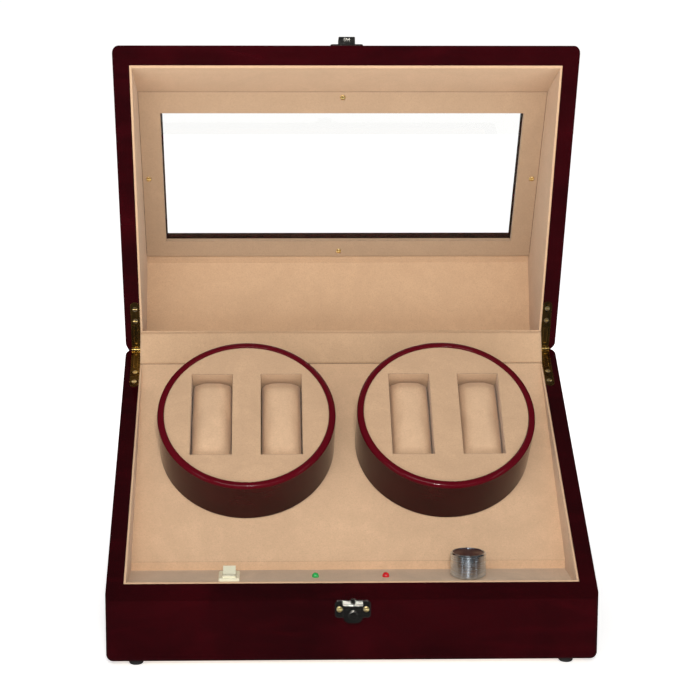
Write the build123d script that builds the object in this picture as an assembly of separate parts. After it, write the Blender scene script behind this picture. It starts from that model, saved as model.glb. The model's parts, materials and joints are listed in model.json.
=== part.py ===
"""Two-turntable watch winder box with a slanted parting line and a glazed lid, shown open.

The case is laid out with x across, y from the front face to the back and z up from the
underside of the case.  The lid is built closed and then swung open about its hinge pins.
Last of all everything moves so that the origin is under the middle of the open box.
"""
from build123d import *
import math
import os

# ---------------------------------------------------------------- case and lid (mm, degrees)
case_width = 340.0
case_depth = 200.0
case_height = 240.0          # closed, without the feet
front_height = 44.0          # base at its front face
parting_angle = 36.0         # slope of the rim, low at the front
lid_opening = 106.9          # from closed to the hinges' stop
wall = 12.0
edge_radius = 5.0            # outer edges of the lacquered boards
closing_gap = 0.4            # between the two rims when closed
fit = 0.2                    # glue line or assembly gap between fixed pieces
lining = 1.6                 # suede on thin card

# ---------------------------------------------------------------- bottom and feet
bottom_thickness = 5.0
bottom_recess = 1.0
bottom_lap = 6.0             # how far the bottom panel laps under the walls
foot_radius = 5.0
foot_drop = 4.5              # below the walls
foot_inset_x = 20.0
foot_inset_y = 14.0
foot_chamfer = 0.7
foot_counterbore = 1.6       # from a foot's underside to its screw's head
foot_head = (2.2, 1.2)       # radius and height of a foot screw's head
foot_screw_length = 7.0
bottom_head = (2.0, 1.0)
bottom_head_sunk = 0.2
bottom_screw_bite = 7.0      # thread in the walls

# ---------------------------------------------------------------- control shelf and deck
shelf_height = 49.0          # suede surface of the control shelf
shelf_thickness = 6.0
deck_thickness = 6.0
suede = 1.0
lip_y = 59.5                 # where the deck's front lip stands on the shelf
lip_height = 6.2
deck_back_drop = 0.6         # deck surface below the rim at the back wall

# ---------------------------------------------------------------- turntables
drum_gap = 15.8              # between the two drums
drum_from_back = 77.6        # drum centre from the deck's back end, along the deck
drum_radius = 65.8
drum_wall = 4.9
drum_bottom = 0.8            # running gap over the suede
drum_top = 42.8
drum_edge = 2.6              # rounding of the drum's top outer edge
drum_floor_thickness = 6.0
drum_floor_lift = 1.2        # floor above the ring's lower edge
face_recess = 1.4
face_thickness = 4.0
slot_shares = (0.501, 1.19, 0.424)   # slot's width, length and offset over the drum's inner radius
slot_shift = -0.3            # slots sit a touch down-slope of the drum's centre
well_wall = 1.5
pillow_side_gap = 1.8
pillow_end_gap = 1.0
pillow_recess = 1.7          # crown below the face
pillow_floor_gap = 0.4
pillow_radius = 6.5
pillow_edge = 2.0
hub_room = 0.57              # between the hub and the wells beside it
hub_height = 10.0
hub_spigot_radius = 6.0
shaft_radius = 3.0
running_clearance = 0.05

# ---------------------------------------------------------------- gear motors
motor_radius = 18.5
motor_length = 30.0
motor_can_radius = 12.0
motor_can_length = 24.0
motor_boss_radius = 6.5
motor_ear_width = 56.0
motor_ear_depth = 16.0
motor_ear_thickness = 2.5
motor_screw_spacing = 46.0
shaft_depth = 14.0           # of the output shaft inside the gearbox

# ---------------------------------------------------------------- controls
controls_y = 40.5
switch_x = -85.6
switch_bezel = (15.0, 21.0)
switch_bezel_height = 2.0
switch_cutout = (13.2, 19.2)
switch_depth = 17.0
switch_pocket = 8.0
tab_size = (4.5, 0.8, 6.2)
tab_reach = 6.1              # below the housing
tab_spacing = 5.5
rocker_size = (9.0, 16.4)
rocker_gaps = (0.25, 0.45)   # beside the rocker and past its ends
rocker_throw = 20.0
keel_half = (3.5, 1.5)       # half lengths of the rocker's keel at its root and tip
keel_depth = (0.4, 4.5)      # root and tip below the axle
rocker_tip = 5.0             # crown's ends above the axle
rocker_dish = 2.6            # crown's middle above the axle
led_radius = 2.5
led_height = 3.2
led_green_x = -24.5
led_red_x = 25.5
selector_x = 84.0
selector_radius = 8.5
selector_depth = 10.0
bushing_radius = 3.5
knob_radius = 12.6
knob_height = 17.2
knob_gap = 0.6
knob_turn_clearance = 0.05
board_size = (76.0, 46.0)
board_thickness = 1.6
standoff_height = 8.0
standoff_radius = 3.0
jack_x = 118.0
jack_z = 26.0
jack_radius = 5.5
jack_flange = (7.5, 1.2)     # radius and thickness
jack_depth = 18.0            # from the wall's outer face
jack_socket = (2.85, 9.0)    # radius and depth
jack_pin = (1.0, 9.5, 0.5)   # radius, and how deep its root and tip lie
jack_nut = (3.0, 2.5)        # past the jack's radius, and thickness

# ---------------------------------------------------------------- window in the lid
window_slope = 46.0
panel_front_z = 110.5        # inner face of the suede panel at the front lining
panel_length = 150.6
panel_thickness = 4.0
glass_thickness = 3.0
frame_thickness = 11.0
window_opening = (280.0, 117.4)
window_round = 4.5           # outer edges of the window's opening
window_margin_front = 18.6   # suede panel below the opening
frame_lip = 1.0              # lacquered frame seen inside the suede opening
glass_overlap = 8.0
panel_screw_inset = 5.0

# ---------------------------------------------------------------- hinges and latch
leaf_width = 7.2
leaf_length = 41.2
leaf_thickness = 1.6
leaf_inset = 4.8             # from the outer face of the side wall
knuckle_radius = 2.3
pin_radius = 0.9
knuckle_room = 0.35          # between a knuckle and the wood around it
leaf_screws = (25.0, 35.2)   # from the hinge pin
groove = (3.0, 15.0, 0.7)    # width, length and depth
groove_start = 5.0
groove_round = 1.4
flap_thickness = 0.8
latch_ears = (24.4, 11.6, 1.2)
latch_body = (13.7, 12.9)
latch_body_depth = 6.4
latch_drop = 1.8             # body's top below the rim
latch_cavity = 9.4
latch_shell = 1.2
button_radius = 3.1
button_drop = 8.9            # button's centre below the rim
button_proud = 1.5
button_travel = 1.5
button_flange = 0.5          # round the button, behind the shell
button_gap = 0.08
hook_gaps = (0.3, 0.35, 0.25, 0.4)   # beside, to the shell, in front, behind when pressed
ear_round = 2.0
body_round = 5.0
body_edge = 0.6
hook = (3.0, 1.0, 2.2)       # width, thickness, height above the rim
hasp_ears = (23.6, 10.0, 1.2)
hasp_block = (12.0, 8.0)
hasp_proud = 7.0
fitting_screw_x = 9.2

# ---------------------------------------------------------------- fasteners
screw_head = (2.1, 0.9)
screw_shank = (1.0, 6.0)
pilot_spare = 0.2            # depth of a pilot hole past its screw
small_clearance = 0.03

half = case_width / 2
inner_half = half - wall
drum_inner = drum_radius - drum_wall
drum_spacing = 2 * drum_radius + drum_gap
slot_width, slot_length, slot_offset = [share * drum_inner for share in slot_shares]
hub_radius = slot_offset - slot_width / 2 - well_wall - hub_room
slope = math.tan(math.radians(parting_angle))
bottom_top = bottom_recess + bottom_thickness


def rim_z(y):
    """Height of the base's rim plane at depth y."""
    return front_height + y * slope


def prism(outline, x0, x1):
    """A (y, z) outline extruded from x0 to x1."""
    return extrude(Plane.YZ.offset(x0) * Polygon(*outline, align=None), amount=x1 - x0, dir=(1, 0, 0))


def block(x0, x1, y0, y1, z0, z1):
    """A box between two corners."""
    return Pos(x0, y0, z0) * Box(x1 - x0, y1 - y0, z1 - z0, align=(Align.MIN,) * 3)


def rod(radius, z0, z1, x=0.0, y=0.0):
    """A cylinder along z."""
    return Pos(x, y, z0) * Cylinder(radius, z1 - z0, align=(Align.CENTER, Align.CENTER, Align.MIN))


def screw(x, y, z, length=screw_shank[1], head=screw_head):
    """A domed wood screw, its head standing on z and its shank below."""
    dome = rod(head[0], z, z + head[1], x, y)
    dome = fillet(dome.edges().group_by(Axis.Z)[-1], head[1] * 0.8)
    slot = Pos(x, y, z + head[1]) * Box(head[0] * 3, 0.5, 0.8)
    return dome - slot + rod(screw_shank[0], z - length, z, x, y)


def pilot(x, y, z, length=screw_shank[1]):
    """The hole that a screw's shank sits in."""
    return rod(screw_shank[0] + small_clearance, z - length - pilot_spare, z + 1, x, y)


def countersunk(x, y, z, length=screw_shank[1], head=1.9):
    """A flat-headed screw, flush with z."""
    cone = Pos(x, y, z - head / 2) * Cone(screw_shank[0], head, head, align=(Align.CENTER,) * 3)
    slot = Pos(x, y, z) * Box(head * 3, 0.4, 0.6)
    return cone - slot + rod(screw_shank[0], z - length, z - head + 0.01, x, y)


def sink(x, y, z, length=screw_shank[1], head=1.9):
    """The countersunk hole for a flat-headed screw."""
    bore = screw_shank[0] + small_clearance
    cone = Pos(x, y, z - head / 2) * Cone(bore, head + small_clearance, head, align=(Align.CENTER,) * 3)
    return cone + rod(bore, z - length - pilot_spare, z, x, y)


def group(solids):
    """Separate solids kept together in one node."""
    return Compound(children=list(solids))


# ================================================================ places
hinge_y = case_depth - closing_gap / 2 * math.sin(math.radians(parting_angle))
hinge_z = rim_z(case_depth) + closing_gap / 2 * math.cos(math.radians(parting_angle))
rim_normal = (0, -math.sin(math.radians(parting_angle)), math.cos(math.radians(parting_angle)))
rim_plane = Plane(origin=(0, hinge_y, hinge_z), x_dir=(1, 0, 0), z_dir=rim_normal)

lip_z = shelf_height + lip_height
back_inner = case_depth - wall
deck_end_z = rim_z(back_inner) - deck_back_drop
deck_angle = math.atan2(deck_end_z - lip_z, back_inner - lip_y)
deck_normal = (0, -math.sin(deck_angle), math.cos(deck_angle))
deck_plane = Plane(origin=(0, lip_y, lip_z), x_dir=(1, 0, 0), z_dir=deck_normal)
drum_along = math.hypot(deck_end_z - lip_z, back_inner - lip_y) - drum_from_back


def on_deck_line(y, depth):
    """Height of the line that runs a given depth under the deck's surface."""
    return lip_z + (y - lip_y) * math.tan(deck_angle) - depth / math.cos(deck_angle)


window_angle = math.radians(window_slope)
window_normal = (0, -math.sin(window_angle), math.cos(window_angle))
panel_y = wall + lining
window_plane = Plane(origin=(0, panel_y, panel_front_z), x_dir=(1, 0, 0), z_dir=window_normal)


def window_line_z(y, lift):
    """Height of the line that lies a given distance outside the suede panel's inner face."""
    return panel_front_z + (y - panel_y) * math.tan(window_angle) + lift / math.cos(window_angle)


def window_line_y(z, lift):
    """Depth at which that line reaches height z."""
    return panel_y + (z - panel_front_z - lift / math.cos(window_angle)) / math.tan(window_angle)


nodes = {}

# ================================================================ base carcass
base_outline = [(0, 0), (case_depth, 0), (case_depth, rim_z(case_depth)), (0, rim_z(0))]
base = prism(base_outline, -half, half)
rim_edges = base.edges().filter_by(lambda e: abs(e.center().Z - rim_z(e.center().Y)) < 0.01)
base = fillet([e for e in base.edges() if e not in rim_edges], edge_radius)
base -= block(-inner_half, inner_half, wall, back_inner, -1, case_height)
lap_edge = wall - bottom_lap
base -= block(-half + lap_edge, half - lap_edge, lap_edge, case_depth - lap_edge, -1, bottom_top)

# knuckle notches in the back corners of both rims
leaf_half = leaf_width / 2
leaf_x = half - leaf_inset - leaf_half
notch_cuts = []
for side in (-1, 1):
    notch = Cylinder(knuckle_radius + knuckle_room, leaf_width + 2 * fit, rotation=(0, 90, 0))
    notch_cuts.append(rim_plane * Pos(side * leaf_x, 0, 0) * notch)


def leaf_bed(side, above):
    """Mortise for a hinge leaf in the base's rim, or the lid's when above is true."""
    slack = fit / 2
    reach = closing_gap / 2 + leaf_thickness + slack
    low = -closing_gap / 2 if above else -reach
    high = reach if above else closing_gap / 2
    bed = block(-leaf_half - slack, leaf_half + slack, leaf_half - leaf_length, 1, low, high)
    bed += rod(leaf_half + slack, low, high, 0, leaf_half - leaf_length)
    return rim_plane * Pos(side * leaf_x, 0, 0) * bed


def leaf_screw_holes(side, above):
    """Pilot holes below a leaf, in the wood of the base or of the lid."""
    holes = []
    for along in leaf_screws:
        hole = sink(0, 0, -closing_gap / 2)
        if above:
            hole = Rot(180, 0, 0) * hole
        holes.append(rim_plane * Pos(side * leaf_x, -along, 0) * hole)
    return holes


for side in (-1, 1):
    base -= leaf_bed(side, False)
    for hole in leaf_screw_holes(side, False):
        base -= hole
for notch in notch_cuts:
    base -= notch

# the latch's screw holes and the power inlet's hole
latch_top = rim_z(0) - 0.4
front_plane = Plane(origin=(0, 0, 0), x_dir=(1, 0, 0), z_dir=(0, -1, 0))
ears_middle = latch_top - latch_ears[1] / 2
for side in (-1, 1):
    base -= front_plane * pilot(side * fitting_screw_x, ears_middle, 0)
back_plane = Plane(origin=(0, case_depth, 0), x_dir=(-1, 0, 0), z_dir=(0, 1, 0))
base -= back_plane * rod(jack_radius + fit, -wall - 1, 1, -jack_x, jack_z)

# holes for the bottom panel's screws
bottom_screw_y = [lap_edge + bottom_lap / 2, case_depth - lap_edge - bottom_lap / 2]
bottom_screw_x = [-inner_half * 0.8, 0, inner_half * 0.8]
bottom_screw_places = [(x, y) for x in bottom_screw_x for y in bottom_screw_y]
bottom_screw_length = bottom_thickness + bottom_screw_bite
for x, y in bottom_screw_places:
    base -= rod(screw_shank[0] + small_clearance, 0, bottom_recess + bottom_screw_length + pilot_spare, x, y)

middle = block(-inner_half, inner_half, -1, case_depth + 1, -1, case_height)
left_half = block(-half - 1, -inner_half, -1, case_depth + 1, -1, case_height)
right_half = block(inner_half, half + 1, -1, case_depth + 1, -1, case_height)
front_zone = block(-half, half, -1, case_depth / 2, -1, case_height)
back_zone = block(-half, half, case_depth / 2, case_depth + 1, -1, case_height)
nodes["base_front_wall"] = base & middle & front_zone
nodes["base_back_wall"] = base & middle & back_zone
nodes["base_left_wall"] = base & left_half
nodes["base_right_wall"] = base & right_half

# ================================================================ bottom panel, feet
bottom_x = half - lap_edge - fit
bottom = block(-bottom_x, bottom_x, lap_edge + fit, case_depth - lap_edge - fit, bottom_recess, bottom_top)
foot_places = [(sx * (half - foot_inset_x), y) for sx in (-1, 1)
               for y in (foot_inset_y, case_depth - foot_inset_y)]
feet = []
bottom_screws = []
for x, y in foot_places:
    foot = rod(foot_radius, -foot_drop, bottom_recess, x, y)
    foot = chamfer(foot.edges().group_by(Axis.Z)[0], foot_chamfer)
    head_z = -foot_drop + foot_counterbore
    foot -= rod(foot_head[0] + 0.1, -foot_drop - 1, head_z + foot_head[1], x, y)
    foot -= rod(screw_shank[0] + small_clearance, head_z, bottom_recess + 1, x, y)
    feet.append(foot)
    fastener = rod(foot_head[0], head_z, head_z + foot_head[1], x, y)
    fastener += rod(screw_shank[0], head_z + foot_head[1], head_z + foot_head[1] + foot_screw_length, x, y)
    bottom_screws.append(fastener)
    bottom -= rod(screw_shank[0] + small_clearance, -1, bottom_top + 1, x, y)
for x, y in bottom_screw_places:
    head_low = bottom_recess + bottom_head_sunk
    head_high = head_low + bottom_head[1]
    bottom -= rod(screw_shank[0] + small_clearance, -1, bottom_top + 1, x, y)
    bottom -= rod(bottom_head[0] + 0.1, -1, head_high + small_clearance, x, y)
    fastener = rod(bottom_head[0], head_low, head_high, x, y)
    fastener += rod(screw_shank[0], head_high, bottom_recess + bottom_screw_length, x, y)
    bottom_screws.append(fastener)
nodes["bottom_panel"] = bottom
nodes["feet"] = group(feet)
nodes["bottom_screws"] = group(bottom_screws)

# ================================================================ control shelf
shelf_board_top = shelf_height - suede
shelf_back = lip_y + suede + deck_thickness
shelf_x = inner_half - fit
under_shelf = shelf_board_top - shelf_thickness
shelf_board = block(-shelf_x, shelf_x, wall + fit, shelf_back, under_shelf, shelf_board_top)
shelf_suede = block(-shelf_x, shelf_x, wall + fit, lip_y - small_clearance, shelf_board_top, shelf_height)
shelf_cuts = [
    Pos(switch_x, controls_y, shelf_height) * Box(switch_cutout[0], switch_cutout[1], 40),
    rod(led_radius + 0.1, 0, case_height, led_green_x, controls_y),
    rod(led_radius + 0.1, 0, case_height, led_red_x, controls_y),
    rod(bushing_radius + 0.1, 0, case_height, selector_x, controls_y),
]
for cut in shelf_cuts:
    shelf_board -= cut
    shelf_suede -= cut
nodes["shelf_board"] = shelf_board
nodes["shelf_suede"] = shelf_suede

# ================================================================ slanted deck
deck_front = lip_y + suede
deck_end = back_inner - fit
board_depth = suede + deck_thickness
board_toe = lip_y + (shelf_board_top - lip_z + board_depth / math.cos(deck_angle)) / math.tan(deck_angle)
deck_board = prism([(deck_front, shelf_board_top), (board_toe, shelf_board_top),
                    (deck_end, on_deck_line(deck_end, board_depth)),
                    (deck_end, on_deck_line(deck_end, suede)),
                    (deck_front, on_deck_line(deck_front, suede))], -shelf_x, shelf_x)
deck_suede = prism([(lip_y, shelf_board_top), (deck_front, shelf_board_top),
                    (deck_front, on_deck_line(deck_front, suede)),
                    (deck_end, on_deck_line(deck_end, suede)),
                    (deck_end, on_deck_line(deck_end, 0)),
                    (lip_y, lip_z)], -shelf_x, shelf_x)
motor_floor = -board_depth
for side in (-1, 1):
    x = side * drum_spacing / 2
    hole = deck_plane * rod(motor_boss_radius + 0.5, motor_floor - 1, 1, x, drum_along)
    deck_board -= hole
    deck_suede -= hole
    for ear in (-1, 1):
        deck_board -= deck_plane * rod(screw_shank[0] + small_clearance, motor_floor - 1,
                                       motor_floor + 4.2, x + ear * motor_screw_spacing / 2, drum_along)
nodes["deck_board"] = deck_board
nodes["deck_suede"] = deck_suede

# ================================================================ suede linings in the base
lining_drop = 0.3
glue = small_clearance
lining_x = inner_half - glue
front_lining = prism([(wall + glue, shelf_height + glue), (panel_y, shelf_height + glue),
                      (panel_y, rim_z(panel_y) - lining_drop), (wall + glue, rim_z(wall) - lining_drop)],
                     -lining_x, lining_x)
side_start = panel_y + glue
side_end = back_inner - flap_thickness - glue
back_face = back_inner - glue
side_outline = [(side_start, shelf_height + glue), (lip_y - glue, shelf_height + glue),
                (lip_y - glue, lip_z + glue), (side_end, on_deck_line(side_end, 0) + glue),
                (side_end, rim_z(side_end) - lining_drop), (side_start, rim_z(side_start) - lining_drop)]
side_linings = [prism(side_outline, inner_half - lining, lining_x),
                prism(side_outline, -lining_x, -inner_half + lining)]
nodes["base_linings"] = group([front_lining] + side_linings)

# ================================================================ hinges
zone = leaf_width / 3
zone_gap = 0.1


def knuckle(x0, x1):
    """A stretch of knuckle along x, bored for the pin."""
    length = x1 - x0
    tube = Cylinder(knuckle_radius, length) - Cylinder(pin_radius + running_clearance, length + 1)
    return Pos((x0 + x1) / 2, 0, 0) * Rot(0, 90, 0) * tube


def hinge_leaf(spans, above):
    """One leaf with its knuckles: flat, rounded at its end, grooved and countersunk."""
    low = closing_gap / 2 if above else -closing_gap / 2 - leaf_thickness
    high = low + leaf_thickness
    face = low if above else high
    start = knuckle_radius + knuckle_room
    straight = leaf_length - leaf_half
    leaf = block(-leaf_half, leaf_half, -straight, -start, low, high)
    leaf += rod(leaf_half, low, high, 0, -straight)
    for x0, x1 in spans:
        leaf += block(x0, x1, -start - 0.1, 0, low, high)
    leaf -= Cylinder(pin_radius + running_clearance, leaf_width + 2, rotation=(0, 90, 0))
    for x0, x1 in spans:
        leaf += knuckle(x0, x1)
    channel = Box(groove[0], groove[1], groove[2] * 2)
    channel = fillet(channel.edges().filter_by(Axis.Z), groove_round)
    leaf -= Pos(0, -groove_start - groove[1] / 2, face) * channel
    for along in leaf_screws:
        hole = sink(0, 0, 0)
        if above:
            hole = Rot(180, 0, 0) * hole
        leaf -= Pos(0, -along, face) * hole
    return leaf


base_spans = [(-leaf_half, -leaf_half + zone - zone_gap), (leaf_half - zone + zone_gap, leaf_half)]
lid_spans = [(-leaf_half + zone + zone_gap, leaf_half - zone - zone_gap)]
base_leaves = []
lid_leaves = []
hinge_pins = []
base_fitting_screws = []
lid_fitting_screws = []
for side in (-1, 1):
    seat = rim_plane * Pos(side * leaf_x, 0, 0)
    base_leaves.append(seat * hinge_leaf(base_spans, False))
    lid_leaves.append(seat * hinge_leaf(lid_spans, True))
    hinge_pins.append(seat * Cylinder(pin_radius, leaf_width, rotation=(0, 90, 0)))
    for along in leaf_screws:
        flat = countersunk(0, 0, -closing_gap / 2)
        base_fitting_screws.append(seat * Pos(0, -along, 0) * flat)
        lid_fitting_screws.append(seat * Pos(0, -along, 0) * Rot(180, 0, 0) * flat)
nodes["hinge_base_leaves"] = group(base_leaves)
nodes["hinge_pins"] = group(hinge_pins)

# ================================================================ latch on the base
# drawn on the front face: x across, local y up, local z towards the front
ear_plate = Pos(0, ears_middle, 0) * Box(latch_ears[0], latch_ears[1], latch_ears[2],
                                         align=(Align.CENTER, Align.CENTER, Align.MIN))
ear_plate = fillet(ear_plate.edges().filter_by(Axis.Z), ear_round)
body_top = rim_z(0) - latch_drop
body_middle = body_top - latch_body[1] / 2
shell_box = Pos(0, body_middle, 0) * Box(latch_body[0], latch_body[1], latch_body_depth,
                                         align=(Align.CENTER, Align.CENTER, Align.MIN))
shell_box = fillet(shell_box.edges().filter_by(Axis.Z).group_by(Axis.Y)[0], body_round)
shell_box = fillet(shell_box.edges().group_by(Axis.Z)[-1], body_edge)
cavity_low = body_top - latch_body[1] + latch_shell
cavity = block(-latch_cavity / 2, latch_cavity / 2, cavity_low, body_top - latch_shell,
               latch_shell, latch_body_depth - latch_shell)
button_y = rim_z(0) - button_drop
hook_front = latch_body_depth - latch_shell - hook_gaps[1]
hook_slot_half = hook[0] / 2 + hook_gaps[0]
hook_slot = block(-hook_slot_half, hook_slot_half, body_top - latch_shell - 1, body_top + 1,
                  hook_front - hook[1] - button_travel - hook_gaps[3], hook_front + hook_gaps[2])
latch_housing = ear_plate + shell_box - cavity - hook_slot
button_bore = button_radius + button_gap
latch_housing -= rod(button_bore, latch_body_depth - latch_shell - 1, latch_body_depth + 1, 0, button_y)
for side in (-1, 1):
    latch_housing -= pilot(side * fitting_screw_x, ears_middle, latch_ears[2])
    base_fitting_screws.append(front_plane * screw(side * fitting_screw_x, ears_middle, latch_ears[2]))
nodes["latch_housing"] = front_plane * latch_housing
nodes["base_fitting_screws"] = group(base_fitting_screws)

button_back = hook_front - hook[1]
button = rod(button_radius, hook_front - 0.1, latch_body_depth + button_proud, 0, button_y)
button = fillet(button.edges().group_by(Axis.Z)[-1], 0.5)
button += rod(button_radius + button_flange, button_back, hook_front, 0, button_y)
button += block(-hook[0] / 2, hook[0] / 2, button_y, rim_z(0) + hook[2], button_back, hook_front)
nodes["latch_button"] = front_plane * button

spring_radius = 1.6
spring_wire = 0.25
spring_turns = 4
spring_length = button_back - latch_shell - 0.04
coil_rise = spring_length - 2 * spring_wire
coil = Helix(pitch=coil_rise / spring_turns, height=coil_rise, radius=spring_radius)
coil_start = Plane(origin=coil @ 0, z_dir=coil % 0)
spring = sweep(coil_start * Circle(spring_wire), path=coil)
nodes["latch_spring"] = front_plane * Pos(0, button_y, latch_shell + spring_wire + 0.02) * spring

# ================================================================ rocker switch
stem_width = switch_cutout[0] - 1.5 * fit
stem_length = switch_cutout[1] - 1.5 * fit
housing = Pos(0, 0, shelf_height) * Box(switch_bezel[0], switch_bezel[1], switch_bezel_height,
                                        align=(Align.CENTER, Align.CENTER, Align.MIN))
housing = fillet(housing.edges().filter_by(Axis.Z), 1.5)
housing = chamfer(housing.edges().group_by(Axis.Z)[-1], 0.5)
housing += Pos(0, 0, shelf_height - switch_depth) * Box(stem_width, stem_length, switch_depth,
                                                        align=(Align.CENTER, Align.CENTER, Align.MIN))
pocket_x = rocker_size[0] / 2 + rocker_gaps[0]
pocket_y = rocker_size[1] / 2 + rocker_gaps[1]
housing -= block(-pocket_x, pocket_x, -pocket_y, pocket_y, shelf_height - switch_pocket, shelf_height + 10)
for tab in (-1, 0, 1):
    tab_middle = shelf_height - switch_depth - tab_reach + tab_size[2] / 2
    housing += Pos(0, tab * tab_spacing, tab_middle) * Box(*tab_size)
nodes["switch_housing"] = Pos(switch_x, controls_y, 0) * housing

# The rocker's axle lies across the switch.  It rests with its back end up.
rocker_axis_z = shelf_height + 0.2
rocker_half = rocker_size[1] / 2
rocker_x = rocker_size[0] / 2
crown = prism([(-rocker_half, -0.5), (rocker_half, -0.5), (rocker_half, rocker_tip), (0, rocker_dish),
               (-rocker_half, rocker_tip)], -rocker_x, rocker_x)
crown &= Cylinder(math.hypot(rocker_half, rocker_tip) - fit / 4, rocker_size[0] + 2, rotation=(0, 90, 0))
keel = prism([(-keel_half[0], -keel_depth[0]), (keel_half[0], -keel_depth[0]),
              (keel_half[1], -keel_depth[1]), (-keel_half[1], -keel_depth[1])], 1 - rocker_x, rocker_x - 1)
rocker = Rot(rocker_throw / 2, 0, 0) * (crown + keel)
nodes["switch_rocker"] = Pos(switch_x, controls_y, rocker_axis_z) * rocker


# ================================================================ indicator lamps
def lamp(x):
    """A round-nosed lamp pressed into the shelf from below."""
    stem = shelf_height + led_height - led_radius
    body = rod(led_radius, shelf_board_top - 4, stem, x, controls_y)
    body += Pos(x, controls_y, stem) * Sphere(led_radius)
    collar_top = shelf_board_top - shelf_thickness
    body += rod(led_radius, collar_top - 1, shelf_board_top - 3.9, x, controls_y)
    body += rod(led_radius + 0.4, collar_top - 1, collar_top, x, controls_y)
    for lead in (-1, 1):
        body += Pos(x + lead * 1.27, controls_y, collar_top - 5) * Box(0.5, 0.5, 8.2)
    return body


nodes["led_green"] = lamp(led_green_x)
nodes["led_red"] = lamp(led_red_x)

# ================================================================ selector and knob
selector = rod(selector_radius, under_shelf - selector_depth, under_shelf)
bushing_top = shelf_height + 1.6
selector += rod(bushing_radius, under_shelf - 0.1, bushing_top)
for pin in (-1, 0, 1):
    selector += Pos(pin * 4, selector_radius, under_shelf - 4) * Box(1.2, 8, 0.8)
spindle_radius = 2.0
selector -= rod(spindle_radius + knob_turn_clearance, under_shelf - 7, bushing_top + 1)
nodes["selector_body"] = Pos(selector_x, controls_y, 0) * selector
selector_nut = Pos(0, 0, shelf_height) * extrude(RegularPolygon(bushing_radius + 1.7, 6), amount=1.2)
selector_nut -= rod(bushing_radius + small_clearance, shelf_height - 1, shelf_height + 3)
nodes["selector_nut"] = Pos(selector_x, controls_y, 0) * selector_nut
knob_bottom = shelf_height + knob_gap
knob_top = knob_bottom + knob_height
spindle_top = knob_top - 5
spindle = rod(spindle_radius, under_shelf - 6.5, spindle_top)
nodes["selector_spindle"] = Pos(selector_x, controls_y, 0) * spindle
knob = rod(knob_radius, knob_bottom, knob_top)
knob = chamfer(knob.edges().group_by(Axis.Z)[-1], 0.9)
knob = chamfer(knob.edges().group_by(Axis.Z)[0], 1.2)
knob -= rod(bushing_radius + 2.5, knob_bottom - 1, bushing_top + 2)
knob -= rod(spindle_radius + small_clearance, knob_bottom, spindle_top)
cap_recess = 0.6
knob -= rod(knob_radius - 1.6, knob_top - cap_recess, knob_top + 1)
knob -= Pos(0, -knob_radius, knob_top) * Box(0.9, 6.5, 1.2)
nodes["selector_knob"] = Pos(selector_x, controls_y, 0) * knob

# ================================================================ control board
board_y = (lip_y + case_depth) / 2 - 20
board_z = bottom_top + standoff_height
power_block = (26.0, 8.0, 8.0, 12.0, 9.0)     # x and y on the board, then its size
driver_block = (-18.0, 4.0, 18.0, 7.0, 4.0)
speed_block = (10.0, -6.0, 10.0, 10.0, 6.0)
switch_block = (-20.0, -12.0, 12.0, 6.0, 5.0)
control_board = Pos(0, board_y, board_z) * Box(board_size[0], board_size[1], board_thickness,
                                                align=(Align.CENTER, Align.CENTER, Align.MIN))
standoffs = []
for sx in (-1, 1):
    for sy in (-1, 1):
        x = sx * (board_size[0] / 2 - 5)
        y = board_y + sy * (board_size[1] / 2 - 5)
        standoffs.append(rod(standoff_radius, bottom_top, board_z, x, y))
chip_top = board_z + board_thickness
for x, y, sx, sy, height in (power_block, driver_block, speed_block, switch_block):
    control_board += Pos(x, board_y + y, chip_top - 0.01) * Box(sx, sy, height,
                                                               align=(Align.CENTER, Align.CENTER, Align.MIN))
nodes["control_board"] = control_board
nodes["board_standoffs"] = group(standoffs)

# ================================================================ power inlet
jack = rod(jack_radius, -jack_depth, 0) + rod(jack_flange[0], 0, jack_flange[1])
jack = chamfer(jack.edges().group_by(Axis.Z)[-1], 0.4)
jack -= rod(jack_socket[0], -jack_socket[1], jack_flange[1] + 1)
jack += rod(jack_pin[0], -jack_pin[1], -jack_pin[2])
nut = extrude(RegularPolygon(jack_radius + jack_nut[0], 6), amount=-jack_nut[1])
nut -= rod(jack_radius + small_clearance, -jack_nut[1] - 1, 1)
nut = Pos(0, 0, -wall) * nut
nodes["power_inlet"] = group([back_plane * Pos(-jack_x, jack_z, 0) * piece for piece in (jack, nut)])

# ================================================================ turntables and motors
floor_low = drum_bottom + drum_floor_lift
floor_high = floor_low + drum_floor_thickness
face_high = drum_top - face_recess
face_low = face_high - face_thickness
pillow_width = slot_width - 2 * pillow_side_gap
pillow_length = slot_length - 2 * pillow_end_gap


def slot_prism(x, grow, low, high):
    """The slot's outline, grown by a wall, between two heights."""
    return Pos(x, slot_shift, low) * Box(slot_width + 2 * grow, slot_length + 2 * grow, high - low,
                                         align=(Align.CENTER, Align.CENTER, Align.MIN))


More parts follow.
